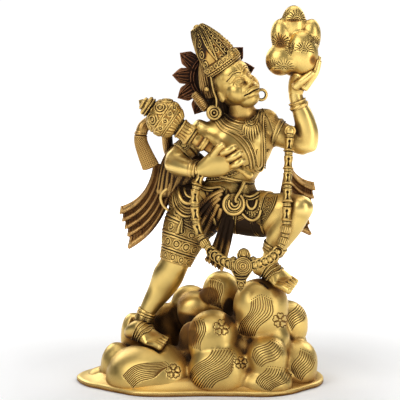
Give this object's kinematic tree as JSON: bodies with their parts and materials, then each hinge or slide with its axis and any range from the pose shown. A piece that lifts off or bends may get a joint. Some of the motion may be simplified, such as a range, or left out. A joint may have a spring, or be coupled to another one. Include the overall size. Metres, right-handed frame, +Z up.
{
  "type": "hanuman figure",
  "caption": "Cast brass monkey-headed hero striding over a rock plinth, one hand lifting a mountain, the other closed on a mace.",
  "frame": {"origin": "middle of the plinth's flat underside, at floor level", "axes": "+Z up, the figure's front looks along -Y and its raised hand is at +X"},
  "size_m": [0.342, 0.196, 0.52],
  "materials": {
    "figure_brass": "polished cast brass with dark brown patina in the recesses",
    "plinth_brass": "satin cast brass with brown patina between the boulders"
  },
  "bodies": {
    "root": {"figure": "figure_brass", "rock_plinth": "plinth_brass"}
  },
  "joints": []
}
